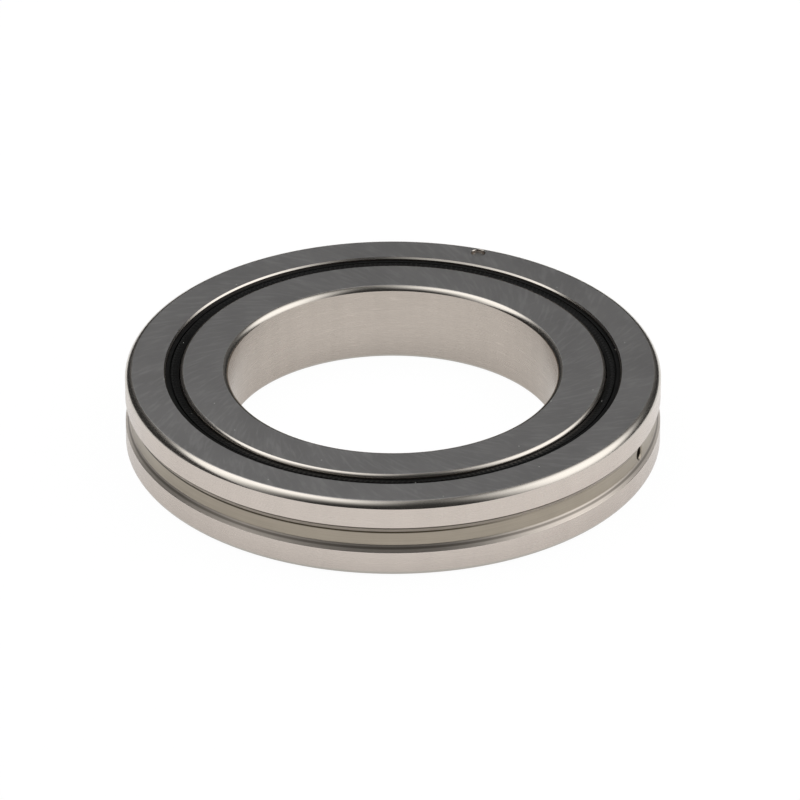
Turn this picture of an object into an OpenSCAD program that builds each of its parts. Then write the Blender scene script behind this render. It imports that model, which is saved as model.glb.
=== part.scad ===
// Crossed roller bearing with one-piece rings, in millimetres, +Z along the bearing's axis.
// The origin lies on the axis, in the plane of the lower side faces.

/* [Rings] */
// Bore diameter of the inner ring
bore_d = 40; // [36:0.5:43]
// Outside diameter of the outer ring
outer_d = 65; // [62:0.5:70]
// Width of both rings
width = 10; // [9:0.2:14]
// Rounding of the outer ring's outside edges
outside_edge_r = 1.05; // [0.4:0.05:1.4]
// Rounding of the bore's edges
bore_edge_r = 0.8; // [0.3:0.05:1.2]
// Depth that is ground off the outside and the bore after their edges are rounded
grind_stock = 0.05; // [0:0.01:0.1]
// Rounding of the inner ring's edges at the seal gap
shoulder_edge_r = 0.4; // [0.1:0.05:0.5]
// Rounding of the outer ring's edges at the seal gap
mouth_edge_r = 0.12; // [0.05:0.01:0.3]

/* [Raceway] */
// How much wider the pitch circle is than the mean of bore and outside diameter
pitch_shift = 0.5; // [-0.5:0.1:1.5]
// Radial distance from the pitch circle to the inner ring's land
inner_land_gap = 0.65; // [0.5:0.05:0.8]
// Radial distance from the pitch circle to the outer ring's land
outer_land_gap = 0.6; // [0.4:0.05:0.8]
// Running clearance between a roller and each flank of the raceway
race_clearance = 0.04; // [0.02:0.01:0.08]
// Axial width of the relief at the root of the raceway
relief_w = 0.8; // [0.4:0.1:1.2]
// Depth of the relief past the root of the raceway
relief_depth = 0.3; // [0.1:0.05:0.4]

/* [Rollers and separators] */
// Number of rollers, which is even because each lies across its neighbours
roller_count = 26; // [16:2:26]
// Diameter of a roller
roller_d = 4.5; // [4:0.1:5]
// How much shorter a roller is than its diameter
roller_shortening = 0.15; // [0.1:0.05:0.4]
// Chamfer of a roller's ends
roller_chamfer = 0.35; // [0.1:0.05:0.6]
// Clearance between a roller and a separator's pocket
pocket_clearance = 0.08; // [0.04:0.01:0.15]
// Clearance between a separator and each flank of the raceway
separator_clearance = 0.15; // [0.08:0.01:0.3]
// How far a separator's horns reach round a roller from its web
separator_horn = 0.7; // [0.2:0.1:0.9]
// Cut across a separator's four corners
separator_corner = 0.6; // [0.3:0.1:0.9]

/* [Seals] */
// Depth of a seal's face below the side faces of the rings
seal_recess = 0.35; // [0.2:0.05:0.6]
// Thickness of a seal at its rim
seal_t = 1; // [0.8:0.05:1.1]
// Radial step from the outer ring's land to the seat of a seal's rim
seal_step = 0.5; // [0.35:0.05:0.7]
// Radial depth of the groove that a seal's bead snaps into
snap_depth = 0.5; // [0.2:0.05:0.6]
// Width of the bead's groove at its mouth
snap_w = 0.5; // [0.4:0.05:0.6]
// Height of the bead's groove above the floor of the seat
snap_lift = 0.15; // [0.1:0.05:0.3]
// Clearance of a seal in its seat and groove
seal_fit = 0.02; // [0.01:0.01:0.05]
// Gap between a seal's lip and the inner ring
lip_gap = 0.08; // [0.05:0.01:0.15]
// Thickness of a seal's lip
lip_t = 0.35; // [0.25:0.05:0.5]
// How far a seal's lip slopes down towards the inner ring
lip_drop = 0.15; // [0:0.05:0.3]
// Radial width of a seal's rim
rim_w = 0.5; // [0.4:0.05:0.6]
// Width of the flex groove beside a seal's rim
flex_w = 0.14; // [0.1:0.02:0.2]
// Depth of the flex groove beside a seal's rim
flex_depth = 0.3; // [0.1:0.05:0.4]

/* [Oil groove and holes] */
// Width of the oil groove at the outside diameter
groove_w = 3.45; // [3:0.05:4]
// Width of the oil groove's floor
groove_floor_w = 1.8; // [1.2:0.1:2.4]
// Depth of the oil groove
groove_depth = 0.55; // [0.35:0.05:0.7]
// Number of oil holes, spaced evenly round the ring
oil_hole_count = 2; // [1:1:2]
// Angle from +X to the first oil hole
oil_hole_turn = -1.8; // [-8:0.2:8]
// Diameter of an oil hole
oil_hole_d = 1.6; // [1:0.1:2]
// Chamfer at the mouth of an oil hole
oil_hole_chamfer = 0.15; // [0.05:0.05:0.25]

/* [Loading plug and its pin] */
// How much wider the loading hole is than a roller passing through it
loading_clearance = 0.15; // [0.1:0.05:0.4]
// Clearance of the plug in the loading hole
plug_fit = 0.02; // [0.01:0.01:0.05]
// Diameter of the pin that holds the plug
pin_d = 1.6; // [1:0.1:1.8]
// Distance of the pin's axis from the outside of the ring
pin_inset = 1.75; // [1.4:0.05:2]
// How far the pin reaches into the plug
pin_engagement = 2.1; // [1.2:0.1:2.6]
// Depth of the pin's end below the side face
pin_recess = 0.3; // [0.1:0.05:0.5]
// Chamfer of the pin's ends
pin_chamfer = 0.2; // [0.1:0.05:0.3]
// Clearance of the pin in its hole
pin_fit = 0.02; // [0.01:0.01:0.05]
// Chamfer at the mouth of the pin's hole
pin_hole_chamfer = 0.12; // [0.05:0.01:0.2]

/* [Hidden] */
$fn = 96;

// Overshoot of a cutting tool past the face that it cuts
over = 1;
// Angle of a roller's axis to the plane of the bearing
cross_angle = 45;
// Angle of a drilled hole's pointed end to its axis
drill_point = 59;

ground_steel = [0.50, 0.49, 0.47];
polished_steel = [0.78, 0.77, 0.75];
pin_steel = [0.42, 0.41, 0.40];
black_rubber = [0.07, 0.07, 0.07];
pale_resin = [0.85, 0.80, 0.66];

bore_r = bore_d / 2;
outer_r = outer_d / 2;
mid = width / 2;

pitch_r = (bore_d + outer_d) / 4 + pitch_shift / 2;
pitch_angle = 360 / roller_count;
roller_len = roller_d - roller_shortening;
race_side = roller_d + 2 * race_clearance;
race_reach = race_side * sin(cross_angle);
inner_land_r = pitch_r - inner_land_gap;
outer_land_r = pitch_r + outer_land_gap;

separator_side = roller_d - 2 * separator_clearance;
pocket_r = roller_d / 2 + pocket_clearance;
separator_web = 2 * pitch_r * sin(pitch_angle / 2) - 2 * pocket_r;
separator_angle = 2 * asin((separator_web / 2 + separator_horn) / pitch_r);

seat_r = outer_land_r + seal_step;
seat_depth = seal_recess + seal_t + seal_fit;
snap_r = seat_r + snap_depth;
snap_mid = seat_depth - snap_lift - snap_w / 2;
lip_r = inner_land_r + lip_gap;
rim_out_r = seat_r - seal_fit;
rim_in_r = rim_out_r - rim_w;
flex_in_r = rim_in_r - flex_w;

groove_floor_r = outer_r - groove_depth;
plug_hole_r = (roller_d + roller_len) / 2 * sin(cross_angle) + loading_clearance / 2;
plug_top = mid + plug_hole_r;
pin_axis_r = outer_r - pin_inset;
pin_hole_r = pin_d / 2 + pin_fit;
pin_low = plug_top - pin_engagement;
pin_high = width - pin_recess;

function numbered(name, i) = str(name, i < 10 ? "_0" : "_", i);

// Square outline with its corners cut off
function cut_square(side, corner) = [
    for (turn = [0 : 90 : 270], step = [corner - side / 2, side / 2 - corner])
        [
            side / 2 * cos(turn) - step * sin(turn),
            side / 2 * sin(turn) + step * cos(turn)
        ]
];

// Cutter that rounds a corner of an outline
module edge_cut(corner, r, turn) {
    translate(corner)
        rotate(turn)
            translate([-r, -r])
                difference() {
                    square(r + over);
                    circle(r);
                }
}

// Outline above the middle plane, and its mirror image below it
module both_sides() {
    translate([0, mid]) {
        children();
        mirror([0, 1]) children();
    }
}

// Outline of the space that the rollers run in, with a relief at each root
module race_outline() {
    translate([pitch_r, mid]) {
        rotate(cross_angle) square(race_side, center = true);
        square([2 * (race_reach + relief_depth), relief_w], center = true);
    }
}

// Upper half of the outer ring's section, with the seal's seat and the oil groove
module outer_half_outline() {
    difference() {
        polygon([
            [outer_land_r, 0],
            [outer_land_r, mid - seat_depth],
            [seat_r, mid - seat_depth],
            [seat_r, mid - snap_mid - snap_w / 2],
            [snap_r, mid - snap_mid],
            [seat_r, mid - snap_mid + snap_w / 2],
            [seat_r, mid],
            [outer_r, mid],
            [outer_r, groove_w / 2],
            [groove_floor_r, groove_floor_w / 2],
            [groove_floor_r, 0]
        ]);
        edge_cut([seat_r, mid], mouth_edge_r, 90);
        edge_cut([outer_r + grind_stock, mid], outside_edge_r, 0);
    }
}

// Upper half of the inner ring's section
module inner_half_outline() {
    difference() {
        polygon([
            [bore_r, 0],
            [bore_r, mid],
            [inner_land_r, mid],
            [inner_land_r, 0]
        ]);
        edge_cut([bore_r - grind_stock, mid], bore_edge_r, 90);
        edge_cut([inner_land_r, mid], shoulder_edge_r, 0);
    }
}

// Section of the upper seal, from its bead round its rim and along its lip
module seal_outline() {
    face = width - seal_recess;
    lip_top = face - lip_drop;
    bead = width - snap_mid;
    bead_w = snap_w - 2 * seal_fit;
    polygon([
        [rim_out_r, face - seal_t],
        [rim_out_r, bead - bead_w / 2],
        [rim_out_r + snap_depth * bead_w / snap_w, bead],
        [rim_out_r, bead + bead_w / 2],
        [rim_out_r, face],
        [rim_in_r, face],
        [rim_in_r, face - flex_depth],
        [flex_in_r, face - flex_depth],
        [flex_in_r, face],
        [lip_r, lip_top],
        [lip_r, lip_top - lip_t],
        [flex_in_r, face - flex_depth - lip_t],
        [rim_in_r, face - seal_t]
    ]);
}

// The outer ring's solid of revolution, before any hole is drilled
module outer_blank() {
    rotate_extrude()
        difference() {
            both_sides() outer_half_outline();
            race_outline();
        }
}

// Radial cylinder through the outer ring's wall on +Y, where the rollers are loaded
module loading_bore(r) {
    translate([0, pitch_r, mid])
        rotate([-90, 0, 0])
            cylinder(r = r, h = outer_r - pitch_r + over);
}

// The pin's hole, drilled down through the ring's wall into the plug
module pin_hole() {
    translate([0, pin_axis_r, 0]) {
        translate([0, 0, pin_low])
            cylinder(r = pin_hole_r, h = width - pin_low + over);
        translate([0, 0, pin_low - pin_hole_r / tan(drill_point)])
            cylinder(r1 = 0, r2 = pin_hole_r, h = pin_hole_r / tan(drill_point));
        translate([0, 0, width - pin_hole_chamfer])
            cylinder(
                r1 = pin_hole_r,
                r2 = pin_hole_r + pin_hole_chamfer + over,
                h = pin_hole_chamfer + over
            );
    }
}

// Oil hole from the oil groove to the raceway, along +X
module oil_hole() {
    translate([pitch_r, 0, mid])
        rotate([0, 90, 0])
            cylinder(d = oil_hole_d, h = outer_r - pitch_r + over);
    translate([groove_floor_r - oil_hole_chamfer, 0, mid])
        rotate([0, 90, 0])
            cylinder(
                d1 = oil_hole_d,
                d2 = oil_hole_d + 2 * (oil_hole_chamfer + over),
                h = oil_hole_chamfer + over
            );
}

// Places its children at a roller, with Z along the roller's axis
module at_roller(i) {
    rotate([0, 0, (i - 1) * pitch_angle])
        translate([pitch_r, 0, mid])
            rotate([0, i % 2 == 1 ? cross_angle : 180 - cross_angle, 0])
                children();
}

module outer_ring() {
    color(ground_steel)
        difference() {
            outer_blank();
            loading_bore(plug_hole_r);
            pin_hole();
            for (i = [0 : oil_hole_count - 1])
                rotate([0, 0, oil_hole_turn + i * 360 / oil_hole_count]) oil_hole();
        }
}

module inner_ring() {
    color(ground_steel)
        rotate_extrude()
            difference() {
                both_sides() inner_half_outline();
                race_outline();
            }
}

module upper_seal() {
    color(black_rubber)
        rotate_extrude() seal_outline();
}

module lower_seal() {
    color(black_rubber)
        rotate_extrude()
            translate([0, width])
                mirror([0, 1]) seal_outline();
}

module loading_plug() {
    color(ground_steel)
        difference() {
            intersection() {
                outer_blank();
                loading_bore(plug_hole_r - plug_fit);
            }
            pin_hole();
        }
}

module plug_pin() {
    length = pin_high - pin_low;
    color(pin_steel)
        translate([0, pin_axis_r, pin_low])
            rotate_extrude()
                polygon([
                    [0, 0],
                    [pin_d / 2 - pin_chamfer, 0],
                    [pin_d / 2, pin_chamfer],
                    [pin_d / 2, length - pin_chamfer],
                    [pin_d / 2 - pin_chamfer, length],
                    [0, length]
                ]);
}

module roller(i) {
    color(polished_steel)
        at_roller(i)
            rotate_extrude()
                polygon([
                    [0, -roller_len / 2],
                    [roller_d / 2 - roller_chamfer, -roller_len / 2],
                    [roller_d / 2, roller_chamfer - roller_len / 2],
                    [roller_d / 2, roller_len / 2 - roller_chamfer],
                    [roller_d / 2 - roller_chamfer, roller_len / 2],
                    [0, roller_len / 2]
                ]);
}

// A separator fills the raceway between two rollers, with a pocket for each of them
module separator(i) {
    color(pale_resin)
        difference() {
            rotate([0, 0, (i - 1 / 2) * pitch_angle - separator_angle / 2])
                rotate_extrude(angle = separator_angle)
                    translate([pitch_r, mid])
                        rotate(cross_angle)
                            polygon(cut_square(separator_side, separator_corner));
            for (neighbour = [i, i + 1])
                at_roller(neighbour)
                    cylinder(r = pocket_r, h = roller_len + 2 * over, center = true);
        }
}

outer_ring();
inner_ring();
upper_seal();
lower_seal();
loading_plug();
plug_pin();
for (i = [1 : roller_count]) {
    roller(i);
    separator(i);
}
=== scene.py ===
import math

import bpy
from bpy.props import FloatProperty, FloatVectorProperty, IntProperty, PointerProperty
from bpy.types import NodeSocket, Operator, Panel, PropertyGroup
from mathutils import Matrix, Vector


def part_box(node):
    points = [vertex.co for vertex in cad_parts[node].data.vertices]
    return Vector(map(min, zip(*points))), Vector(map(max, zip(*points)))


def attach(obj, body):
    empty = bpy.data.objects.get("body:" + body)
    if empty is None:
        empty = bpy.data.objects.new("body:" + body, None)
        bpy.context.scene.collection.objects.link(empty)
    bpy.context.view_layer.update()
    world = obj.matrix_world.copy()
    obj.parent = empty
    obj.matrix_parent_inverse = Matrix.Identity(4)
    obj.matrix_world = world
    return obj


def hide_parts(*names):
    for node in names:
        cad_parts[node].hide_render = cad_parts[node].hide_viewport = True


bl_info = {
    "name": "Crossed roller bearing",
    "version": (1, 0, 0),
    "blender": (4, 5, 0),
    "location": "3D View > Sidebar > Bearing",
    "description": "Steel finishes, rubber seals and studio stage for a sealed crossed roller bearing",
    "category": "Object",
}

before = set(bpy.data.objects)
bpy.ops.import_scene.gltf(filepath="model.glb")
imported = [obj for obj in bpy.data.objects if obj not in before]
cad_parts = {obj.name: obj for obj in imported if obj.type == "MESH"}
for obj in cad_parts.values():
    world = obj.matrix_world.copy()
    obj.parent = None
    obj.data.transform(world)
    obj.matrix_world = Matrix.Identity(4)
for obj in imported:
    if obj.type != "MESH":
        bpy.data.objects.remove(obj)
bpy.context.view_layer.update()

MM = 0.001


def reach(node):
    """Smallest and largest distance of a node's points from the bearing's axis."""
    spans = [math.hypot(v.co.x, v.co.y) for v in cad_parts[node].data.vertices]
    return min(spans), max(spans)


def like(stem):
    """Names of the nodes that are copies of one piece, in order."""
    return sorted(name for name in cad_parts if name.startswith(stem))


OUTSIDE_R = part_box("outer_ring")[1].x
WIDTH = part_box("outer_ring")[1].z
MID = WIDTH / 2
BORE_R, SHOULDER_R = reach("inner_ring")
FACE_R = (OUTSIDE_R + BORE_R) / 2
LAND_R = reach("outer_ring")[0]
PLUG_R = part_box("loading_plug")[1].x
PIN_LOW, PIN_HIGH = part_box("plug_pin")
PIN_AXIS = (PIN_LOW + PIN_HIGH) / 2
PIN_R = (PIN_HIGH.x - PIN_LOW.x) / 2

# Facets round the rings, round small holes and round the plug's bore.
RING_FACETS, HOLE_FACETS, PLUG_FACETS = 480, 64, 160
# Steps of a rounding on the rings, on the pin's hole and on the seals.
ARC_STEPS, HOLE_ARC_STEPS, SEAL_ARC_STEPS = 12, 6, 2
# How far a cutter goes past the surface, and the radius of a drill's point.
CUTTER_PAST, POINT_R = 1 * MM, 0.001 * MM
# Largest share of a side that a rounding may take up.
ROUNDING_SHARE = 0.45
# Angle from which an edge stays sharp, on steel and on rubber.
STEEL_SHARP, RUBBER_SHARP = math.radians(12), math.radians(50)

# How far noise strays from one half: as a rule, seldom further, and hardly ever further.
NOISE_REACH, WIDE_REACH, FULL_REACH = 0.2, 0.25, 0.3
# How much a surface faces up or down, where it starts and ends to count as side face or as wall.
FACE_TILT, WALL_TILT = (0.96, 0.998), (0.25, 0.1)
# Grinding marks on the side faces: angle to the radius, seed, noise where they start and are clear.
GRINDING_LAYS = (
    (math.radians(-12), 0.0, 0.54, 0.85),
    (math.radians(-40), 40.0, 0.46, 0.74),
)
# Noise that follows the turning: waves round a ring, rows in a metre, detail.
TURNED_LINES = (3.0, 14000.0, 3.0)
WALL_BANDS = (11.0, 30.0, 2.0)
BORE_SCRATCHES = (8.0, 9000.0, 1.0)
SCRATCH_ONSET = (0.62, 0.74)
# Dust: cells in a metre, size of a speck in its cell, share of the cells that have one.
FACE_DUST, RUBBER_DUST = (240.0, 0.02, 0.16), (420.0, 0.03, 0.08)
# Depth over which the groove's finish sets in, and its margin beside the groove.
GROOVE_ONSET, GROOVE_MARGIN = (0.012 * MM, 0.03 * MM), 0.05 * MM
# Distance from the floor's edge over which the finish of the groove's flanks sets in.
FLANK_ONSET = (-0.05 * MM, 0.15 * MM)
# Painted shade in the groove: thin dark lines that stand in for shade and dark reflections in its corners and
# at its edge; distance from its corner, width, strength.
UPPER_CORNER_SHADE = (-0.1 * MM, 0.36 * MM, 0.97)
LOWER_CORNER_SHADE = (-0.34 * MM, 0.38 * MM, 0.55)
GROOVE_EDGE_SHADE = (-0.14 * MM, 0.46 * MM, 0.75)
# Fading of the upper painted shade line round the ring: cosines where it starts and ends, least and most
# strength.
CORNER_SHADE_FADE = (0.2, 0.6, 0.15, 1.0)
# Relief of the lines on the walls and in the groove, of the streaks, and the depth of full relief.
WALL_RELIEF, GROOVE_RELIEF, STREAK_RELIEF, RELIEF_DEPTH = 0.15, 0.8, 0.5, 0.0012 * MM
# How much streaks and lines change the roughness, and how metallic dust is.
STREAK_GLOSS, LINE_GLOSS, DUST_METAL = 0.05, 0.03, 0.1


def length_property(name, description, millimetres):
    """A small length that a user may change."""
    return FloatProperty(
        name=name,
        description=description,
        default=millimetres * MM,
        unit="LENGTH",
        precision=5,
        min=0,
    )


def colour_property(name, description, default):
    """A colour that a user may change."""
    return FloatVectorProperty(
        name=name, description=description, default=default, subtype="COLOR", min=0, max=1
    )


def share_property(name, description, default):
    """A number between 0 and 1 that a user may change."""
    return FloatProperty(
        name=name, description=description, default=default, subtype="FACTOR", min=0, max=1
    )


class RingForm(PropertyGroup):
    """Edges, grooves and holes of the two rings."""

    outside_rounding: length_property("Outside rounding", "Rounding of the outer ring's outside edges", 1.05)
    bore_rounding: length_property("Bore rounding", "Rounding of the inner ring's bore edges", 0.8)
    grind_stock: length_property("Grinding stock", "Depth ground off the walls after rounding", 0.05)
    shoulder_rounding: length_property("Shoulder rounding", "Rounding of the inner ring at the seal", 0.48)
    mouth_bevel: length_property("Mouth bevel", "Bevel of the outer ring at the seal", 0.18)
    groove_width: length_property("Groove width", "Width of the oil groove at the outside", 3.45)
    groove_floor: length_property("Groove floor", "Width of the oil groove's floor", 1.8)
    groove_depth: length_property("Groove depth", "Depth of the oil groove", 0.55)
    groove_corner: length_property("Groove corner", "Rounding of the oil groove's floor corners", 0.3)
    pitch_radius: length_property("Pitch radius", "Radius of the circle through the rollers' middles", 26.5)
    race_reach: length_property("Race reach", "Reach of the raceway from the rollers' middles", 3.23855)
    relief_width: length_property("Relief width", "Width of the relief at a raceway's root", 0.8)
    relief_depth: length_property("Relief depth", "Depth of the relief at a raceway's root", 0.3)
    seat_depth: length_property("Seat depth", "Depth of a seal's seat below the side face", 1.37)
    seat_step: length_property("Seat step", "Step from the land to a seal's seat", 0.5)
    snap_depth: length_property("Snap depth", "Depth of the groove for a seal's bead", 0.5)
    snap_width: length_property("Snap width", "Width of the groove for a seal's bead", 0.5)
    snap_place: length_property("Snap place", "Depth of that groove's middle below the side face", 0.97)
    oil_hole: length_property("Oil hole", "Diameter of an oil hole", 1.6)
    oil_chamfer: length_property("Oil hole chamfer", "Chamfer of an oil hole", 0.15)
    pin_edge: length_property("Pin hole edge", "Rounding of the pin hole's worn edge", 0.12)
    hole_fit: length_property("Hole fit", "Gap round the plug and round the pin", 0.02)
    oil_hole_count: IntProperty(
        name="Oil holes",
        description="Number of oil holes round the ring",
        default=2,
        min=1,
    )
    oil_hole_turn: FloatProperty(
        name="Oil hole angle",
        description="Angle from +X to the first oil hole",
        default=math.radians(-1.8),
        subtype="ANGLE",
    )


class SteelFinish(PropertyGroup):
    """Colours and finishes of the hardened steel pieces."""

    face_colour: colour_property("Side faces", "Colour of the ground side faces", (0.275, 0.269, 0.266))
    land_colour: colour_property("Outside lands", "Colour of the ground outside", (0.54, 0.483, 0.438))
    bore_colour: colour_property("Bore", "Colour of the ground bore", (0.46, 0.41, 0.365))
    edge_colour: colour_property("Roundings", "Colour of the polished edge roundings", (0.507, 0.473, 0.428))
    groove_colour: colour_property("Oil groove", "Colour of the turned oil groove", (0.327, 0.288, 0.235))
    flank_colour: colour_property("Groove flanks", "Colour of the oil groove's flanks", (0.52, 0.47, 0.42))
    roller_colour: colour_property("Rollers", "Colour of the lapped rollers", (0.63, 0.62, 0.61))
    pin_colour: colour_property("Pin", "Colour of the pin that holds the loading plug", (0.30, 0.29, 0.28))
    # Colour of the painted shade lines in the groove, which stand in for shade and dark reflections in its
    # corners.
    groove_shade_colour: colour_property("Residue", "Colour of the groove's oil residue", (0.035, 0.028, 0.018))
    dust_colour: colour_property("Dust", "Colour of the specks of dust on the side faces", (0.80, 0.79, 0.77))
    face_metal: share_property("Side face metal", "Share of clear reflection on the satin side faces", 0.8)
    face_roughness: share_property("Side face roughness", "Roughness of the ground side faces", 0.30)
    land_roughness: share_property("Wall roughness", "Roughness of the outside lands and of the bore", 0.28)
    edge_roughness: share_property("Rounding roughness", "Roughness of the edge roundings", 0.2)
    groove_roughness: share_property("Groove roughness", "Roughness of the turned oil groove", 0.36)
    flank_roughness: share_property("Flank roughness", "Roughness of the oil groove's flanks", 0.42)
    # Side of the ring where the upper painted shade line in the groove is darkest.
    groove_shade_turn: FloatProperty(
        name="Residue angle",
        description="Angle from +X to the side of the groove where most residue is",
        default=math.radians(-115),
        subtype="ANGLE",
    )
    streak_light: share_property("Streak light", "How much lighter a grinding streak is", 0.17)
    scratch_light: share_property("Scratch light", "How much lighter a scratch in the bore is", 0.14)
    streak_width: FloatProperty(
        name="Streak width",
        description="Width of the grinding streaks on the side faces",
        default=0.62 * MM,
        unit="LENGTH",
        precision=5,
        min=0.02 * MM,
    )
    streak_length: FloatProperty(
        name="Streak length",
        description="Length of the grinding streaks on the side faces",
        default=2.2 * MM,
        unit="LENGTH",
        precision=4,
        min=0.2 * MM,
    )


class SealForm(PropertyGroup):
    """Shape and colour of the two rubber seals."""

    rib_count: IntProperty(
        name="Ribs",
        description="Number of fine radial ribs round the lip",
        default=264,
        min=60,
        max=400,
    )
    rib_height: length_property("Rib height", "Height of a rib above the lip", 0.07)
    rib_inner: length_property("Rib inner end", "Distance of the ribs' inner end from the lip's edge", 0.36)
    rim_width: length_property("Rim width", "Radial width of the seal's rim", 0.5)
    bead_reach: length_property("Bead", "How far the bead stands out of the rim", 0.46)
    bead_width: length_property("Bead width", "Width of the bead at the rim", 0.46)
    bead_lift: length_property("Bead height", "Height of the bead's middle above the back of the rim", 0.38)
    flex_width: length_property("Flex groove width", "Width of the groove between rim and lip", 0.14)
    flex_depth: length_property("Flex groove depth", "Depth of the groove between rim and lip", 0.3)
    lip_thickness: length_property("Lip thickness", "Thickness of the lip", 0.35)
    lip_drop: length_property("Lip slope", "How far the lip drops towards the inner ring", 0.15)
    edge_rounding: length_property("Edge rounding", "Rounding of the seal's edges", 0.035)
    rubber_colour: colour_property("Rubber", "Colour of the rubber", (0.0022, 0.0022, 0.0021))
    dust_colour: colour_property("Dust", "Colour of the specks of dust on the rubber", (0.50, 0.49, 0.47))
    resin_colour: colour_property("Separators", "Colour of the moulded separators", (0.72, 0.66, 0.52))


class StageSetup(PropertyGroup):
    """Camera, floor and lights."""

    azimuth: FloatProperty(
        name="View azimuth",
        description="Direction from which the camera looks",
        default=math.radians(20.1),
        subtype="ANGLE",
    )
    elevation: FloatProperty(
        name="View elevation",
        description="Height of the camera above the horizon",
        default=math.radians(29.92),
        subtype="ANGLE",
    )
    distance: FloatProperty(
        name="View distance",
        description="Distance of the camera from the bearing's middle",
        default=1.0,
        unit="LENGTH",
    )
    focal_length: FloatProperty(
        name="Focal length",
        description="Focal length of the lens, in millimetres",
        default=370.25,
    )
    aim_right: FloatProperty(
        name="Aim to the right",
        description="How far right of the bearing's middle the camera aims",
        default=0.853 * MM,
        unit="LENGTH",
        precision=5,
    )
    aim_up: FloatProperty(
        name="Aim upwards",
        description="How far above the bearing's middle the camera aims",
        default=0.416 * MM,
        unit="LENGTH",
        precision=5,
    )
    floor_colour: colour_property("Floor", "Colour of the pale floor", (0.95, 0.95, 0.95))
    floor_white: share_property("Floor white", "Share of plain white in what is seen of the floor", 0.97)
    floor_mirrored: share_property("Mirrored white", "Share of plain white in the mirrored floor", 0.5)
    panel_light: FloatProperty(
        name="Softbox brightness",
        description="Brightness of the two softboxes, where 1 is white",
        default=2.0,
        min=0,
    )
    fill_light: FloatProperty(
        name="Fill brightness",
        description="Brightness of the overhead fill that metal does not mirror, where 1 is white",
        default=1.1,
        min=0,
    )
    sky_light: FloatProperty(
        name="Room brightness",
        description="Brightness of the room above the horizon, where 1 is white",
        default=0.06,
        min=0,
    )
    card_light: FloatProperty(
        name="Back card brightness",
        description="Brightness of the large card behind the bearing, where 1 is white",
        default=0.1,
        min=0,
    )
    horizon_light: FloatProperty(
        name="Horizon brightness",
        description="Brightness of the room near the horizon, where 1 is white",
        default=0.05,
        min=0,
    )


class Sheet:
    """A shader node tree that is being filled in."""

    def __init__(self, owner):
        owner.use_nodes = True
        self.tree = owner.node_tree
        self.tree.nodes.clear()

    def feed(self, socket, value):
        """Links a socket to another one, or sets its own value."""
        if isinstance(value, NodeSocket):
            self.tree.links.new(value, socket)
        elif socket.type == "RGBA" and len(value) == 3:
            socket.default_value = (*value, 1)
        else:
            socket.default_value = value

    def add(self, kind, feeds=None, **settings):
        """Adds a node with its settings and feeds its sockets."""
        node = self.tree.nodes.new(kind)
        for name, value in settings.items():
            setattr(node, name, value)
        for key, value in (feeds or {}).items():
            self.feed(node.inputs[key], value)
        return node

    def sums(self, operation, *values):
        """One step of arithmetic."""
        return self.add("ShaderNodeMath", dict(enumerate(values)), operation=operation).outputs[0]

    def split(self, vector):
        """The three numbers of a vector."""
        return self.add("ShaderNodeSeparateXYZ", {0: vector}).outputs

    def join(self, x, y, z):
        """A vector of three numbers."""
        return self.add("ShaderNodeCombineXYZ", {0: x, 1: y, 2: z}).outputs[0]

    def span(self, x, y):
        """Distance from an upright axis."""
        feeds = {0: self.join(x, y, 0.0)}
        return self.add("ShaderNodeVectorMath", feeds, operation="LENGTH").outputs[1]

    def ramp(self, value, low, high, start=0.0, end=1.0):
        """A smooth step of a value from low to high."""
        feeds = {0: value, 1: low, 2: high, 3: start, 4: end}
        return self.add("ShaderNodeMapRange", feeds, interpolation_type="SMOOTHSTEP").outputs[0]

    def spread(self, noise, start, end, stray=NOISE_REACH):
        """Noise, which keeps near one half, drawn out over a range."""
        return self.ramp(noise, 0.5 - stray, 0.5 + stray, start, end)

    def blend(self, share, first, second):
        """A colour between two colours."""
        feeds = {0: share, 6: first, 7: second}
        return self.add("ShaderNodeMix", feeds, data_type="RGBA").outputs[2]

    def between(self, share, first, second):
        """A number between two numbers."""
        return self.add("ShaderNodeMix", {0: share, 2: first, 3: second}).outputs[0]

    def tint(self, colour, amount):
        """A colour made lighter or darker by a factor."""
        grey = self.join(amount, amount, amount)
        feeds = {0: 1.0, 6: colour, 7: grey}
        return self.add("ShaderNodeMix", feeds, data_type="RGBA", blend_type="MULTIPLY").outputs[2]

    def noise(self, vector, scale, detail=2.0, roughness=0.5):
        """Soft noise between 0 and 1."""
        feeds = {"Vector": vector, "Scale": scale, "Detail": detail, "Roughness": roughness}
        return self.add("ShaderNodeTexNoise", feeds).outputs[0]

    def dots(self, vector, scale, size, share):
        """Small round dots in a share of the cells of a plane."""
        feeds = {"Vector": vector, "Scale": scale}
        cells = self.add("ShaderNodeTexVoronoi", feeds, voronoi_dimensions="2D")
        chosen = self.sums("GREATER_THAN", self.split(cells.outputs["Color"])[0], 1 - share)
        near = self.ramp(cells.outputs["Distance"], size, size / 2)
        return self.sums("MULTIPLY", near, chosen)

    def bump(self, height, depth):
        """A surface normal from a height between 0 and 1."""
        feeds = {"Height": height, "Strength": 1.0, "Distance": depth}
        return self.add("ShaderNodeBump", feeds).outputs[0]

    def finish(self, **inputs):
        """The surface shader and the output."""
        shader = self.add("ShaderNodeBsdfPrincipled")
        for name, value in inputs.items():
            self.feed(shader.inputs[name.replace("_", " ")], value)
        self.add("ShaderNodeOutputMaterial", {0: shader.outputs[0]})


def new_material(name):
    """An empty material and the sheet that fills it in."""
    material = bpy.data.materials.new(name)
    return material, Sheet(material)


def dress(nodes, material):
    """Gives solids one material."""
    for name in nodes:
        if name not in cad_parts:
            raise RuntimeError(f"the frame has no node {name}")
        mesh_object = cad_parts[name]
        if not mesh_object.material_slots:
            mesh_object.data.materials.append(material)
        for slot in mesh_object.material_slots:
            slot.material = material


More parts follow.
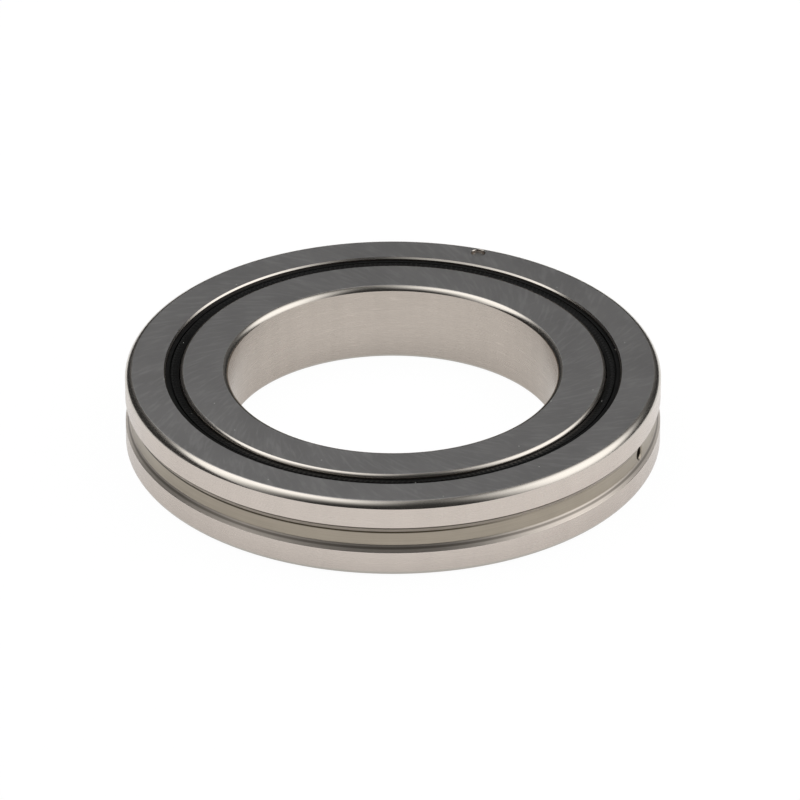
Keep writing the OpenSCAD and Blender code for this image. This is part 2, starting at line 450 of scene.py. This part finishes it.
def streak_lay(s, steel, radius, turn, swirl, seed):
    """Streaks that cross the radius at one angle, as a grinding wheel leaves them."""
    outward = s.sums("LOGARITHM", s.sums("DIVIDE", radius, FACE_R), math.e)
    course = s.sums("ADD", turn, s.sums("MULTIPLY", outward, math.tan(swirl)))
    across = FACE_R / steel.streak_width
    u = s.sums("MULTIPLY", s.sums("COSINE", course), across)
    v = s.sums("MULTIPLY", s.sums("SINE", course), across)
    w = s.sums("MULTIPLY_ADD", radius, 1 / steel.streak_length, seed)
    return s.noise(s.join(u, v, w), 1.0)


def ring_steel(name, steel, form):
    """Ground bearing steel: streaked faces, fine lines round the walls, a turned groove with painted shade
    lines in its corners.
    """
    material, s = new_material(name)
    place = s.add("ShaderNodeTexCoord").outputs
    x, y, z = s.split(place["Object"])
    tilt = s.sums("ABSOLUTE", s.split(place["Normal"])[2])
    radius = s.span(x, y)
    turn = s.sums("ARCTAN2", y, x)
    flat = s.ramp(tilt, *FACE_TILT)
    wall = s.ramp(tilt, *WALL_TILT)

    streaks, cloud_scale = 0.0, 160.0
    for swirl, seed, faint, clear in GRINDING_LAYS:
        lay = s.ramp(streak_lay(s, steel, radius, turn, swirl, seed), faint, clear)
        streaks = s.sums("MAXIMUM", streaks, lay)
    cloud = s.noise(place["Object"], cloud_scale, detail=3.0)
    face_tone = s.sums("MULTIPLY_ADD", streaks, steel.streak_light, s.spread(cloud, 0.9, 1.0))
    face = s.tint(steel.face_colour, face_tone)
    dust = s.sums("MULTIPLY", s.dots(place["Object"], *FACE_DUST), flat)

    round_x = s.sums("DIVIDE", x, radius)
    round_y = s.sums("DIVIDE", y, radius)

    def round_noise(turns, rows, detail):
        """Noise that follows the rings' turning."""
        u = s.sums("MULTIPLY", round_x, turns)
        v = s.sums("MULTIPLY", round_y, turns)
        return s.noise(s.join(u, v, s.sums("MULTIPLY", z, rows)), 1.0, detail, roughness=0.6)

    lines = round_noise(*TURNED_LINES)
    bands = round_noise(*WALL_BANDS)
    scratches = s.ramp(round_noise(*BORE_SCRATCHES), *SCRATCH_ONSET)
    bored = s.sums("LESS_THAN", radius, BORE_R + form.bore_rounding)
    scratches = s.sums("MULTIPLY", scratches, bored)
    wall_tone = s.sums("ADD", s.spread(lines, 0.97, 1.01, WIDE_REACH), s.spread(bands, -0.02, 0.02))
    wall_tone = s.sums("MULTIPLY_ADD", scratches, steel.scratch_light, wall_tone)
    land = s.tint(s.blend(bored, steel.land_colour, steel.bore_colour), wall_tone)

    rise = s.sums("SUBTRACT", z, MID)
    height = s.sums("ABSOLUTE", rise)
    groove_edge, corner = form.groove_width / 2, form.groove_floor / 2
    below = s.ramp(radius, *(OUTSIDE_R - depth for depth in GROOVE_ONSET))
    inside = s.sums("GREATER_THAN", radius, OUTSIDE_R - 2 * form.groove_depth)
    near = s.sums("LESS_THAN", height, groove_edge + GROOVE_MARGIN)
    groove = s.sums("MULTIPLY", s.sums("MULTIPLY", below, inside), near)
    groove_tone = s.sums("ADD", s.spread(lines, 0.9, 1.06, WIDE_REACH), s.spread(cloud, -0.04, 0.04))
    flank = s.ramp(height, *(corner + distance for distance in FLANK_ONSET))
    turned_steel = s.tint(s.blend(flank, steel.groove_colour, steel.flank_colour), groove_tone)

    def shade_line(at, shift, width, strength):
        """A thin dark line of painted shade near one height of the groove."""
        off = s.sums("ABSOLUTE", s.sums("SUBTRACT", rise, at + shift))
        return s.sums("MULTIPLY", s.ramp(off, width / 2, width / 6), strength)

    # Painted shade: the upper line is darkest on one side of the ring and fades round it; the lower line and
    # the edge line are even.
    side_x = s.sums("MULTIPLY", round_x, math.cos(steel.groove_shade_turn))
    side = s.sums("MULTIPLY_ADD", round_y, math.sin(steel.groove_shade_turn), side_x)
    upper_shade_line = shade_line(corner, *UPPER_CORNER_SHADE)
    painted_shade = s.sums("MULTIPLY", upper_shade_line, s.ramp(side, *CORNER_SHADE_FADE))
    painted_shade = s.sums("MAXIMUM", painted_shade, shade_line(-corner, *LOWER_CORNER_SHADE))
    painted_shade = s.sums("MAXIMUM", painted_shade, shade_line(groove_edge, *GROOVE_EDGE_SHADE))
    painted_shade = s.sums("MULTIPLY", painted_shade, groove)

    colour = s.blend(flat, steel.edge_colour, face)
    colour = s.blend(wall, colour, land)
    colour = s.blend(groove, colour, turned_steel)
    # The painted shade lines darken the groove's colour.
    colour = s.blend(painted_shade, colour, steel.groove_shade_colour)
    colour = s.blend(dust, colour, steel.dust_colour)
    face_gloss = s.sums("MULTIPLY_ADD", streaks, STREAK_GLOSS, steel.face_roughness)
    dull, bright = steel.land_roughness + LINE_GLOSS, steel.land_roughness - LINE_GLOSS
    wall_gloss = s.spread(lines, dull, bright, FULL_REACH)
    gloss = s.between(flat, steel.edge_roughness, face_gloss)
    gloss = s.between(wall, gloss, wall_gloss)
    gloss = s.between(groove, gloss, s.between(flank, steel.groove_roughness, steel.flank_roughness))
    line_relief = s.sums("MULTIPLY", lines, s.between(groove, WALL_RELIEF, GROOVE_RELIEF))
    relief = s.between(flat, line_relief, s.sums("MULTIPLY", streaks, STREAK_RELIEF))
    s.finish(
        Base_Color=colour,
        Metallic=s.between(dust, s.between(flat, 1.0, steel.face_metal), DUST_METAL),
        Roughness=gloss,
        Normal=s.bump(relief, RELIEF_DEPTH),
    )
    return material


def pin_steel(steel):
    """Darker drawn steel with turned rings on the pin's end."""
    ring_scale, line_scale, cloud_scale = 16000.0, 9000.0, 900.0
    worn_from, worn_light = PIN_R * 0.78, 1.5
    material, s = new_material("drawn_pin_steel")
    place = s.add("ShaderNodeTexCoord").outputs["Object"]
    x, y, z = s.split(place)
    radius = s.span(s.sums("SUBTRACT", x, PIN_AXIS.x), s.sums("SUBTRACT", y, PIN_AXIS.y))
    across, along = s.sums("MULTIPLY", radius, ring_scale), s.sums("MULTIPLY", z, line_scale)
    rings = s.noise(s.join(across, 0.0, along), 1.0)
    cloud = s.noise(place, cloud_scale, detail=3.0)
    worn = s.ramp(radius, worn_from, PIN_R, 1.0, worn_light)
    tone = s.sums("MULTIPLY", s.spread(rings, 0.8, 1.2, WIDE_REACH), worn)
    tone = s.sums("MULTIPLY", tone, s.spread(cloud, 0.85, 1.1))
    s.finish(
        Base_Color=s.tint(steel.pin_colour, tone),
        Metallic=1.0,
        Roughness=s.spread(rings, 0.28, 0.42, FULL_REACH),
        Normal=s.bump(rings, 0.004 * MM),
    )
    return material


def roller_steel(steel):
    """Lapped steel with a fine, even haze."""
    haze_scale, cloud_scale = 5200.0, 420.0
    material, s = new_material("lapped_roller_steel")
    place = s.add("ShaderNodeTexCoord").outputs["Object"]
    haze = s.noise(place, haze_scale, detail=3.0)
    cloud = s.noise(place, cloud_scale, detail=3.0)
    tone = s.sums("MULTIPLY", s.spread(haze, 0.94, 1.04), s.spread(cloud, 0.93, 1.04))
    s.finish(
        Base_Color=s.tint(steel.roller_colour, tone),
        Metallic=1.0,
        Roughness=s.spread(haze, 0.08, 0.17, WIDE_REACH),
        Normal=s.bump(haze, 0.0004 * MM),
    )
    return material


def separator_resin(form):
    """Moulded resin with flow marks and a fine spark-eroded grain."""
    flow_scale, grain_scale = 520.0, 7000.0
    material, s = new_material("moulded_separator_resin")
    place = s.add("ShaderNodeTexCoord").outputs["Object"]
    flow = s.noise(place, flow_scale, detail=4.0, roughness=0.6)
    grain = s.noise(place, grain_scale)
    tone = s.sums("MULTIPLY", s.spread(flow, 0.86, 1.06), s.spread(grain, 0.95, 1.03))
    s.finish(
        Base_Color=s.tint(form.resin_colour, tone),
        Roughness=s.spread(grain, 0.38, 0.55, WIDE_REACH),
        Normal=s.bump(grain, 0.006 * MM),
        Subsurface_Weight=0.08,
        Subsurface_Radius=(0.8 * MM, 0.6 * MM, 0.4 * MM),
    )
    return material


def seal_rubber(form):
    """Black rubber with fine mould grain and a few specks of dust."""
    grain_scale, cloud_scale = 6000.0, 500.0
    material, s = new_material("moulded_seal_rubber")
    place = s.add("ShaderNodeTexCoord").outputs["Object"]
    grain = s.noise(place, grain_scale)
    cloud = s.noise(place, cloud_scale, detail=3.0)
    dust = s.dots(place, *RUBBER_DUST)
    tone = s.sums("MULTIPLY", s.spread(grain, 0.75, 1.2), s.spread(cloud, 0.8, 1.25))
    s.finish(
        Base_Color=s.blend(dust, s.tint(form.rubber_colour, tone), form.dust_colour),
        Roughness=s.spread(cloud, 0.32, 0.44, WIDE_REACH),
        Normal=s.bump(grain, 0.002 * MM),
        Specular_IOR_Level=0.11,
    )
    return material


def smooth_step(low, high, value):
    """A smooth step from 0 at low to 1 at high."""
    share = min(max((value - low) / (high - low), 0), 1)
    return share * share * (3 - 2 * share)


def soften(section, steps):
    """A closed section of (radius, height, rounding) whose corners become arcs."""
    points = []
    for i, (r, z, size) in enumerate(section):
        corner = Vector((r, z))
        sides = [Vector(section[j][:2]) - corner for j in (i - 1, (i + 1) % len(section))]
        if not size:
            points.append(corner)
            continue
        before, after = (side.normalized() for side in sides)
        half = before.angle(after) / 2
        trim = min(size / math.tan(half), ROUNDING_SHARE * min(side.length for side in sides))
        radius = trim * math.tan(half)
        centre = corner + (before + after).normalized() * (radius / math.sin(half))
        first, last = (corner + side * trim - centre for side in (before, after))
        sweep = first.angle_signed(last)
        for k in range(steps + 1):
            turn = -sweep * k / steps
            c, n = math.cos(turn), math.sin(turn)
            points.append(centre + Vector((first.x * c - first.y * n, first.x * n + first.y * c)))
    return [tuple(point) for point in points]


def link_mesh(name, points, faces):
    """A new object from points and faces."""
    mesh = bpy.data.meshes.new(name)
    mesh.from_pydata(points, [], faces)
    mesh.validate()
    piece = bpy.data.objects.new(name, mesh)
    bpy.context.scene.collection.objects.link(piece)
    return piece


def turned(name, section, count, lift=None):
    """A ring turned about the bearing's axis from a closed section."""
    points, faces = [], []
    rows = len(section)
    for i in range(count):
        angle = math.tau * i / count
        for j, (r, z) in enumerate(section):
            rise = lift(i, j) if lift else 0
            points.append((r * math.cos(angle), r * math.sin(angle), z + rise))
        for j in range(rows):
            here, there = i * rows, (i + 1) % count * rows
            after = (j + 1) % rows
            faces.append((here + j, there + j, there + after, here + after))
    return link_mesh(name, points, faces)


def drill(profile, origin, axis, count):
    """A cutter turned about its own axis from (radius, distance) points between its two ends."""
    ends = [profile[0][1], profile[-1][1]]
    points = [(0, 0, ends[0]), (0, 0, ends[1])]
    faces = []
    rows = len(profile)
    for i in range(count):
        angle = math.tau * i / count
        points += [(r * math.cos(angle), r * math.sin(angle), h) for r, h in profile]
        here, there = 2 + i * rows, 2 + (i + 1) % count * rows
        faces += [(here + j, there + j, there + j + 1, here + j + 1) for j in range(rows - 1)]
        faces += [(0, there, here), (1, here + rows - 1, there + rows - 1)]
    cutter = link_mesh("cutter", points, faces)
    cutter.data.transform(Vector(axis).to_track_quat("Z", "Y").to_matrix().to_4x4())
    cutter.data.transform(Matrix.Translation(origin))
    return cutter


def settle(piece):
    """Turns a piece's modifiers into its mesh."""
    shown = piece.evaluated_get(bpy.context.evaluated_depsgraph_get())
    mesh = bpy.data.meshes.new_from_object(shown)
    mesh.name = piece.name
    piece.modifiers.clear()
    old, piece.data = piece.data, mesh
    bpy.data.meshes.remove(old)


def cut(piece, cutters, operation="DIFFERENCE"):
    """Cuts a piece with other solids, which are used up."""
    for cutter in cutters:
        step = piece.modifiers.new("cut", "BOOLEAN")
        step.operation = operation
        step.solver = "EXACT"
        step.object = cutter
    settle(piece)
    for cutter in cutters:
        bpy.data.meshes.remove(cutter.data)


def even_shading(piece):
    """Smooth shading that keeps flats flat and edges sharp."""
    piece.data.shade_smooth()
    piece.data.set_sharp_from_angle(angle=STEEL_SHARP)
    weights = piece.modifiers.new("even_shading", "WEIGHTED_NORMAL")
    weights.keep_sharp = True
    settle(piece)


def both_halves(half):
    """A closed section from its upper half, which starts and ends on the middle plane."""
    upper = [(r, MID + z, size) for r, z, size in half]
    lower = [(r, MID - z, size) for r, z, size in reversed(half)]
    return upper + lower


def ground_edge(wall, outward, size, stock):
    """A rounding from the side face to a wall that was ground after it, as section points."""
    meet = math.acos((size - stock) / size)
    points = []
    for k in range(ARC_STEPS + 1):
        angle = math.pi / 2 + (meet - math.pi / 2) * k / ARC_STEPS
        r = wall + outward * (stock - size + size * math.cos(angle))
        points.append((r, MID - size + size * math.sin(angle), 0))
    return points


def outer_section(form):
    """The outer ring's section: raceway, seal seats, roundings and oil groove."""
    root = form.pitch_radius + form.race_reach
    seat = LAND_R + form.seat_step
    snap = MID - form.snap_place
    ledge = MID - form.seat_depth
    floor = OUTSIDE_R - form.groove_depth
    return both_halves(
        [
            (root + form.relief_depth, form.relief_width / 2, 0),
            (root - form.relief_width / 2, form.relief_width / 2, 0),
            (LAND_R, root - LAND_R, 0),
            (LAND_R, ledge, 0),
            (seat, ledge, 0),
            (seat, snap - form.snap_width / 2, 0),
            (seat + form.snap_depth, snap, 0),
            (seat, snap + form.snap_width / 2, 0),
            (seat, MID - form.mouth_bevel, 0),
            (seat + form.mouth_bevel, MID, 0),
            *ground_edge(OUTSIDE_R, 1, form.outside_rounding, form.grind_stock),
            (OUTSIDE_R, form.groove_width / 2, 0),
            (floor, form.groove_floor / 2, form.groove_corner),
        ]
    )


def inner_section(form):
    """The inner ring's section: bore, roundings and raceway."""
    root = form.pitch_radius - form.race_reach
    return both_halves(
        [
            *reversed(ground_edge(BORE_R, -1, form.bore_rounding, form.grind_stock)),
            (SHOULDER_R, MID, form.shoulder_rounding),
            (SHOULDER_R, SHOULDER_R - root, 0),
            (root + form.relief_width / 2, form.relief_width / 2, 0),
            (root - form.relief_depth, form.relief_width / 2, 0),
        ]
    )


def pin_drill(form):
    """The pin's hole with its drill point and its worn edge."""
    r, edge, low = PIN_R + form.hole_fit, form.pin_edge, PIN_LOW.z
    profile = [(POINT_R, low - r / 2), (r, low)]
    for k in range(HOLE_ARC_STEPS + 1):
        angle = math.pi / 2 * k / HOLE_ARC_STEPS
        profile.append((r + edge - edge * math.cos(angle), WIDTH - edge + edge * math.sin(angle)))
    profile.append((r + edge, WIDTH + CUTTER_PAST))
    return drill(profile, (PIN_AXIS.x, PIN_AXIS.y, 0), (0, 0, 1), HOLE_FACETS)


def oil_drill(form, angle):
    """An oil hole from the groove to the raceway, with its chamfer."""
    r = form.oil_hole / 2
    floor = OUTSIDE_R - form.groove_depth
    wide = r + form.oil_chamfer + CUTTER_PAST
    profile = [(r, form.pitch_radius), (r, floor - form.oil_chamfer), (wide, floor + CUTTER_PAST)]
    return drill(profile, (0, 0, MID), (math.cos(angle), math.sin(angle), 0), HOLE_FACETS)


def plug_drill(form, r):
    """A radial bore through the outer ring's wall, where the rollers go in."""
    profile = [(r, form.pitch_radius), (r, OUTSIDE_R + CUTTER_PAST)]
    return drill(profile, (0, 0, MID), (0, 1, 0), PLUG_FACETS)


def stand_in(piece, node, material, body):
    """Puts a finished piece in the place of its solid."""
    piece.data.materials.clear()
    piece.data.materials.append(material)
    dress([node], material)
    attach(piece, body)
    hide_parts(node)


def seal_section(form, lip_r, bead_r, back, face):
    """The upper seal's section, from its bead round its rim and along its lip."""
    rim_out = bead_r - form.bead_reach
    rim_in = rim_out - form.rim_width
    flex_in = rim_in - form.flex_width
    bead = back + form.bead_lift
    floor = face - form.flex_depth
    lip_top = face - form.lip_drop
    corners = [
        (rim_out, back),
        (rim_out, bead - form.bead_width / 2),
        (bead_r, bead),
        (rim_out, bead + form.bead_width / 2),
        (rim_out, face),
        (rim_in, face),
        (rim_in, floor),
        (flex_in, floor),
        (flex_in, face),
        (lip_r, lip_top),
        (lip_r, lip_top - form.lip_thickness),
        (flex_in, floor - form.lip_thickness),
        (rim_in, back),
    ]
    return [(r, z, form.edge_rounding) for r, z in corners]


def ribbed_seal(name, form, node, upper):
    """A turned rubber seal with fine ribs on its lip, in the space of its solid."""
    lip_r, bead_r = reach(node)
    low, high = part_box(node)
    back, face = (low.z, high.z) if upper else (WIDTH - high.z, WIDTH - low.z)
    corners = seal_section(form, lip_r, bead_r, back, face)
    flex_corner, lip_corner = 8, 9
    flex_in, lip_top = corners[flex_corner][0], corners[lip_corner][1]
    slope = (face - lip_top) / (flex_in - lip_r)
    rib_in, rib_out = lip_r + form.rib_inner, flex_in - form.edge_rounding
    ease, crest, rib_steps = 0.07 * MM, 0.6, 6
    section = soften(corners, SEAL_ARC_STEPS)
    at = lip_corner * (SEAL_ARC_STEPS + 1)
    stops = [rib_out - ease, (rib_in + rib_out) / 2, rib_in + ease, rib_in]
    section[at:at] = [(r, face - slope * (flex_in - r)) for r in stops]
    shares = [0.0] * len(section)
    for j, r in enumerate(stops):
        shares[at + j] = smooth_step(rib_in, rib_in + ease, r)
    wave = [smooth_step(-crest, crest, math.cos(math.tau * i / rib_steps)) for i in range(rib_steps)]
    piece = turned(
        name,
        section,
        form.rib_count * rib_steps,
        lambda i, j: form.rib_height * shares[j] * wave[i % rib_steps],
    )
    if not upper:
        piece.data.transform(Matrix.Translation((0, 0, WIDTH)) @ Matrix.Scale(-1, 4, (0, 0, 1)))
        piece.data.flip_normals()
    piece.data.shade_smooth()
    piece.data.set_sharp_from_angle(angle=RUBBER_SHARP)
    return piece


class BEARING_OT_rings(Operator):
    """Turns both rings and the loading plug and gives them their ground steel"""

    bl_idname = "bearing.rings"
    bl_label = "Rings and loading plug"

    def execute(self, context):
        form, steel = context.scene.bearing_rings, context.scene.bearing_steel
        outside_steel = ring_steel("ground_outer_steel", steel, form)
        blank = soften(outer_section(form), ARC_STEPS)

        outer = turned("outer_ring_turned", blank, RING_FACETS)
        pitch = math.tau / form.oil_hole_count
        holes = [oil_drill(form, form.oil_hole_turn + pitch * i) for i in range(form.oil_hole_count)]
        cut(outer, [plug_drill(form, PLUG_R + form.hole_fit), pin_drill(form), *holes])
        even_shading(outer)
        stand_in(outer, "outer_ring", outside_steel, "outer_ring")

        plug = turned("loading_plug_turned", blank, RING_FACETS)
        cut(plug, [plug_drill(form, PLUG_R)], "INTERSECT")
        cut(plug, [pin_drill(form)])
        even_shading(plug)
        stand_in(plug, "loading_plug", outside_steel, "outer_ring")

        inner = turned("inner_ring_turned", soften(inner_section(form), ARC_STEPS), RING_FACETS)
        even_shading(inner)
        inside_steel = ring_steel("ground_inner_steel", steel, form)
        stand_in(inner, "inner_ring", inside_steel, "inner_ring")
        return {"FINISHED"}


class BEARING_OT_pin(Operator):
    """Gives the pin of the loading plug its drawn steel"""

    bl_idname = "bearing.pin"
    bl_label = "Plug pin"

    def execute(self, context):
        dress(["plug_pin"], pin_steel(context.scene.bearing_steel))
        return {"FINISHED"}


class BEARING_OT_rollers(Operator):
    """Gives the crossed rollers their lapped steel"""

    bl_idname = "bearing.rollers"
    bl_label = "Rollers"

    def execute(self, context):
        dress(like("roller_"), roller_steel(context.scene.bearing_steel))
        return {"FINISHED"}


class BEARING_OT_separators(Operator):
    """Gives the separators between the rollers their moulded resin"""

    bl_idname = "bearing.separators"
    bl_label = "Separators"

    def execute(self, context):
        dress(like("separator_"), separator_resin(context.scene.bearing_seal))
        return {"FINISHED"}


class BEARING_OT_seals(Operator):
    """Builds the two ribbed rubber seals in place of their plain solids"""

    bl_idname = "bearing.seals"
    bl_label = "Seals"

    def execute(self, context):
        form = context.scene.bearing_seal
        rubber = seal_rubber(form)
        for node in ("upper_seal", "lower_seal"):
            piece = ribbed_seal(f"{node}_ribbed", form, node, node == "upper_seal")
            stand_in(piece, node, rubber, "outer_ring")
        return {"FINISHED"}


def softbox(name, inner, outer, ends, edges, brightness, turn, mirrored=True):
    """A sloping light panel whose light sets in across edges seen from the bearing's middle.

    The panel reaches from its inner to its outer (x, z) edge and between its ends along y. An edge is the
    direction into the light, with the cosines at which the panel is dark and at its full brightness.
    """
    (inner_x, inner_z), (outer_x, outer_z) = inner, outer
    slope = Vector((outer_x - inner_x, 0, outer_z - inner_z))
    middle = Vector((inner_x + outer_x, sum(ends), inner_z + outer_z)) / 2
    light = bpy.data.lights.new(name, "AREA")
    light.shape = "RECTANGLE"
    light.size = slope.length
    light.size_y = ends[1] - ends[0]
    light.energy = brightness * math.pi * light.size * light.size_y
    across, along = slope.normalized(), Vector((0, 1, 0))
    away = across.cross(along)
    if away.dot(middle) < 0:
        across, away = -across, -away
    placement = Matrix((across, along, away)).transposed().to_4x4()
    placement.translation = middle
    rotation = Matrix.Rotation(turn, 4, "Z")
    lamp = bpy.data.objects.new(name, light)
    lamp.matrix_world = rotation @ placement
    s = Sheet(light)
    spot = s.add("ShaderNodeNewGeometry").outputs["Position"]
    towards = s.add("ShaderNodeVectorMath", {0: spot}, operation="NORMALIZE").outputs[0]
    level = 1.0
    for inward, dark, full in edges:
        feeds = {0: towards, 1: rotation.to_3x3() @ Vector(inward)}
        lean = s.add("ShaderNodeVectorMath", feeds, operation="DOT_PRODUCT").outputs["Value"]
        level = s.sums("MULTIPLY", level, s.ramp(lean, dark, full))
    glow = s.add("ShaderNodeEmission", {"Strength": level})
    s.add("ShaderNodeOutputLight", {0: glow.outputs[0]})
    lamp.visible_camera = False
    lamp.visible_glossy = mirrored
    bpy.context.scene.collection.objects.link(lamp)


def pale_floor(setup):
    """A large pale floor that keeps the bearing's soft shadow."""
    count, size = 96, 3.0
    angles = [math.tau * i / count for i in range(count)]
    rim = [(size * math.cos(a), size * math.sin(a), 0) for a in angles]
    floor = link_mesh("floor", rim, [tuple(range(count))])
    material, s = new_material("pale_floor")
    rays = s.add("ShaderNodeLightPath").outputs
    mirrored = s.sums("MAXIMUM", rays["Is Glossy Ray"], rays["Is Transmission Ray"])
    mirrored = s.sums("MULTIPLY", mirrored, setup.floor_mirrored)
    seen = s.sums("MULTIPLY", rays["Is Camera Ray"], setup.floor_white)
    matt = s.add("ShaderNodeBsdfDiffuse", {"Color": setup.floor_colour})
    white = s.add("ShaderNodeEmission", {"Color": (1, 1, 1), "Strength": 1.0})
    share = s.sums("MAXIMUM", seen, mirrored)
    mixed = s.add("ShaderNodeMixShader", {0: share, 1: matt.outputs[0], 2: white.outputs[0]})
    s.add("ShaderNodeOutputMaterial", {0: mixed.outputs[0]})
    floor.data.materials.append(material)


def room(setup):
    """A dim room: darker at the horizon, brighter above."""
    world = bpy.data.worlds.new("room")
    bpy.context.scene.world = world
    s = Sheet(world)
    height = s.split(s.add("ShaderNodeTexCoord").outputs["Generated"])[2]
    low, high = math.radians(17), math.radians(29)
    level = s.ramp(height, math.sin(low), math.sin(high), setup.horizon_light, setup.sky_light)
    sky = s.add("ShaderNodeBackground", {"Strength": level})
    s.add("ShaderNodeOutputWorld", {0: sky.outputs[0]})


def view_camera(setup):
    """The camera, at the photograph's angle."""
    a, e = setup.azimuth, setup.elevation
    back = Vector((math.sin(a) * math.cos(e), -math.cos(a) * math.cos(e), math.sin(e)))
    right = Vector((math.cos(a), math.sin(a), 0))
    up = back.cross(right)
    aim = Vector((0, 0, MID)) + right * setup.aim_right + up * setup.aim_up
    lens = bpy.data.cameras.new("camera")
    lens.lens = setup.focal_length
    lens.sensor_width = 36
    lens.clip_start, lens.clip_end = 0.01, 20
    camera = bpy.data.objects.new("camera", lens)
    camera.location = aim + back * setup.distance
    camera.rotation_euler = (-back).to_track_quat("-Z", "Y").to_euler()
    bpy.context.scene.collection.objects.link(camera)
    bpy.context.scene.camera = camera


class BEARING_OT_stage(Operator):
    """Sets up the floor, the room, the soft lights and the camera"""

    bl_idname = "bearing.stage"
    bl_label = "Stage"

    def execute(self, context):
        setup = context.scene.bearing_stage
        context.scene.view_settings.view_transform = "Standard"
        pale_floor(setup)
        room(setup)
        front = setup.azimuth
        softbox(
            "left_softbox",
            inner=(0.14, 0.79),
            outer=(-0.60, 0.05),
            ends=(-0.8, 1.0),
            edges=[
                ((0.45, -0.55, 0.70), -0.045, 0.075),
                ((0, 1, 0), -0.85, 0.25),
                ((-1, 0, 0), -0.12, 0.22),
            ],
            brightness=setup.panel_light,
            turn=front,
        )
        softbox(
            "right_softbox",
            inner=(0.02, 0.63),
            outer=(0.63, 0.02),
            ends=(-0.7, 0.6),
            edges=[
                ((1, 0, 0), 0.05, 0.6),
                ((0, -0.78, 0.62), -0.18, 0.10),
                ((0.68, 0.73, 0), -0.25, 0.45),
                ((0, 0, 1), -0.4, 0.5),
            ],
            brightness=setup.panel_light,
            turn=front,
        )
        softbox(
            "back_card",
            inner=(0.55, 0.52),
            outer=(0.80, 0.22),
            ends=(-0.6, 0.6),
            edges=[
                ((0, 1, 0), -0.55, -0.3),
                ((0, -1, 0), -0.55, -0.3),
                ((0, 0, 1), 0.2, 0.35),
                ((0.7, 0, -0.7), -0.05, 0.1),
            ],
            brightness=setup.card_light,
            turn=front + math.pi / 2,
        )
        softbox(
            "overhead_fill",
            inner=(-1, 1.3),
            outer=(1, 1.3),
            ends=(-1, 1),
            edges=[],
            brightness=setup.fill_light,
            turn=front,
            mirrored=False,
        )
        view_camera(setup)
        return {"FINISHED"}


class BEARING_PT_build(Panel):
    """Lists the steps that build and light the bearing"""

    bl_label = "Crossed roller bearing"
    bl_space_type = "VIEW_3D"
    bl_region_type = "UI"
    bl_category = "Bearing"

    def draw(self, context):
        for step in STEPS:
            self.layout.operator(step.bl_idname)
        for name in SETTINGS:
            box = self.layout.box()
            group = getattr(context.scene, name)
            for key in group.__annotations__:
                box.prop(group, key)


STEPS = (
    BEARING_OT_rings,
    BEARING_OT_pin,
    BEARING_OT_rollers,
    BEARING_OT_separators,
    BEARING_OT_seals,
    BEARING_OT_stage,
)
SETTINGS = {
    "bearing_rings": RingForm,
    "bearing_steel": SteelFinish,
    "bearing_seal": SealForm,
    "bearing_stage": StageSetup,
}


def register():
    """Adds the settings, the operators and the panel to Blender."""
    for group in (*SETTINGS.values(), *STEPS, BEARING_PT_build):
        bpy.utils.register_class(group)
    for name, group in SETTINGS.items():
        setattr(bpy.types.Scene, name, PointerProperty(type=group))


def unregister():
    """Takes them out again."""
    for name in SETTINGS:
        delattr(bpy.types.Scene, name)
    for group in (BEARING_PT_build, *reversed(STEPS), *SETTINGS.values()):
        bpy.utils.unregister_class(group)


def main():
    """Builds the bearing and its stage."""
    register()
    bpy.ops.bearing.rings()
    bpy.ops.bearing.pin()
    bpy.ops.bearing.rollers()
    bpy.ops.bearing.separators()
    bpy.ops.bearing.seals()
    bpy.ops.bearing.stage()


if __name__ == "__main__":
    main()
